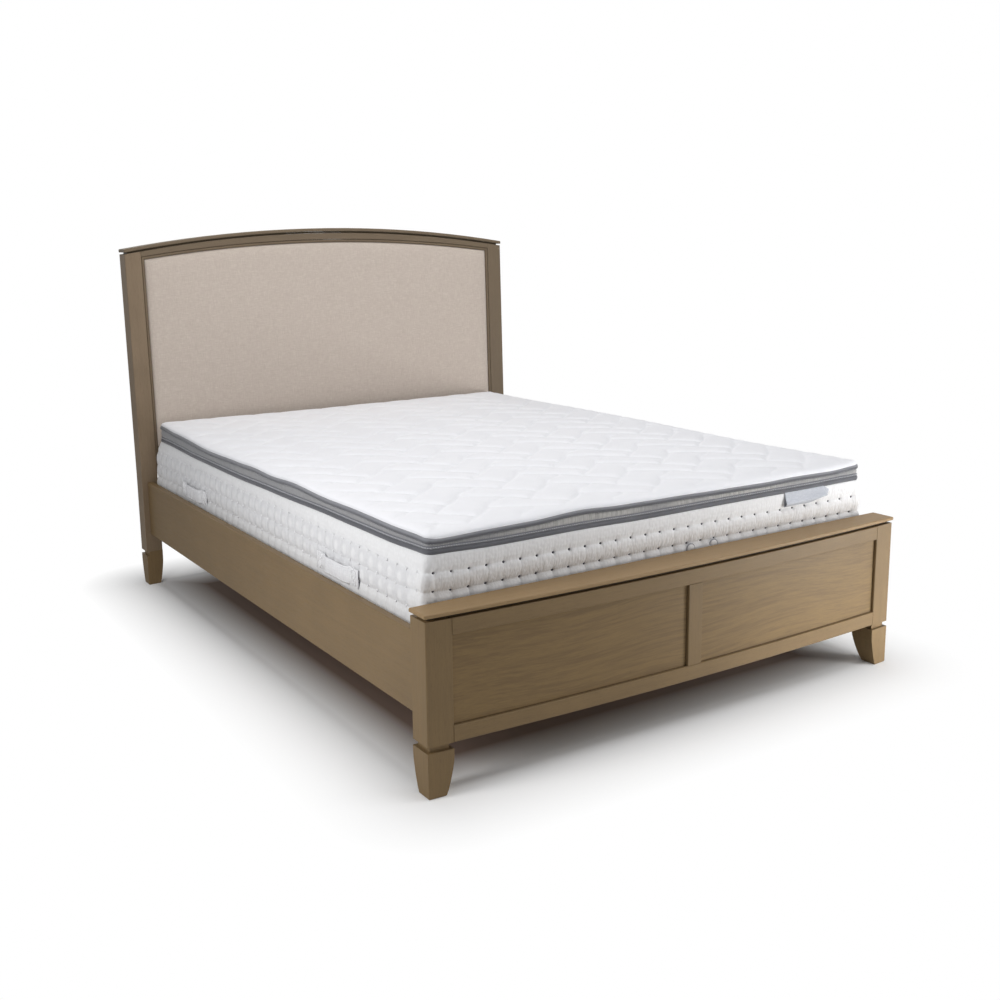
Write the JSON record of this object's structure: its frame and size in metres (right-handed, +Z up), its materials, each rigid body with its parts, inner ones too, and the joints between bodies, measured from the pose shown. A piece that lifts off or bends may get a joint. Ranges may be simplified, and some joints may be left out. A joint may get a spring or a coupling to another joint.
{
  "type": "bed",
  "caption": "Wooden bed with an arched upholstered headboard, a bowed panelled footboard, a slatted base and a lift-off quilted pillow-top mattress.",
  "frame": {"origin": "on the floor, under the centre of the bed's bounding box", "axes": "+X to the right seen from the foot end, +Y from the foot end towards the headboard, +Z up"},
  "size_m": [1.654, 2.2114, 1.335],
  "materials": {
    "frame_wood": "satin grey-washed oak",
    "reveal_wood": "matte dark-washed oak",
    "base_wood": "matte pale plywood and pine",
    "headboard_linen": "matte oatmeal linen",
    "mattress_side_cloth": "matte white damask",
    "mattress_top_cloth": "matte white quilted knit",
    "mattress_tape": "matte grey ribbed tape",
    "handle_cloth": "matte white webbing",
    "label_cloth": "matte grey cloth",
    "bracket_steel": "satin grey",
    "glide_plastic": "matte black nylon"
  },
  "bodies": {
    "bed_frame": {"footboard_left_post": "frame_wood", "footboard_right_post": "frame_wood", "footboard_top_rail": "frame_wood", "footboard_bottom_rail": "frame_wood", "footboard_muntin": "frame_wood", "footboard_left_panel": "frame_wood", "footboard_right_panel": "frame_wood", "footboard_cap_spacer": "reveal_wood", "footboard_cap": "frame_wood", "footboard_left_foot": "frame_wood", "footboard_right_foot": "frame_wood", "headboard_left_post": "frame_wood", "headboard_right_post": "frame_wood", "headboard_low_board": "frame_wood", "headboard_mid_rail": "frame_wood", "headboard_top_rail": "frame_wood", "headboard_bead": "frame_wood", "headboard_pad": "headboard_linen", "headboard_pad_board": "base_wood", "headboard_back_panel": "reveal_wood", "headboard_cap_spacer": "reveal_wood", "headboard_cap": "frame_wood", "headboard_left_foot": "frame_wood", "headboard_right_foot": "frame_wood", "left_side_rail": "frame_wood", "right_side_rail": "frame_wood", "left_slat_ledge": "base_wood", "right_slat_ledge": "base_wood", "foot_left_corner_bracket": "bracket_steel", "foot_right_corner_bracket": "bracket_steel", "head_left_corner_bracket": "bracket_steel", "head_right_corner_bracket": "bracket_steel", "slat_01": "base_wood", "slat_02": "base_wood", "slat_03": "base_wood", "slat_04": "base_wood", "slat_05": "base_wood", "slat_06": "base_wood", "slat_07": "base_wood", "slat_08": "base_wood", "slat_09": "base_wood", "slat_10": "base_wood", "slat_11": "base_wood", "slat_12": "base_wood", "centre_beam": "base_wood", "foot_beam_hanger": "bracket_steel", "head_beam_hanger": "bracket_steel", "foot_centre_leg": "base_wood", "head_centre_leg": "base_wood"},
    "mattress": {"mattress_core": "mattress_side_cloth", "mattress_pillow_top": "mattress_top_cloth", "mattress_lower_tape": "mattress_tape", "mattress_upper_tape": "mattress_tape", "mattress_left_foot_handle": "handle_cloth", "mattress_right_foot_handle": "handle_cloth", "mattress_left_head_handle": "handle_cloth", "mattress_right_head_handle": "handle_cloth"},
    "label": {"mattress_label": "label_cloth"},
    "foot_glide": {"foot_centre_glide": "glide_plastic"},
    "head_glide": {"head_centre_glide": "glide_plastic"}
  },
  "joints": [
    {"name": "mattress_lift", "type": "slide", "parent": "bed_frame", "child": "mattress", "axis": [0, 0, 1], "range_m": [0, 0.45]},
    {"name": "label_flap", "type": "hinge", "parent": "mattress", "child": "label", "pos_m": [0.51, -0.99725, 0.563], "axis": [-1, 0, 0], "range_deg": [0, 80]},
    {"name": "foot_glide_screw", "type": "slide", "parent": "bed_frame", "child": "foot_glide", "axis": [0, 0, 1], "range_m": [0, 0.012]},
    {"name": "head_glide_screw", "type": "slide", "parent": "bed_frame", "child": "head_glide", "axis": [0, 0, 1], "range_m": [0, 0.012]}
  ]
}
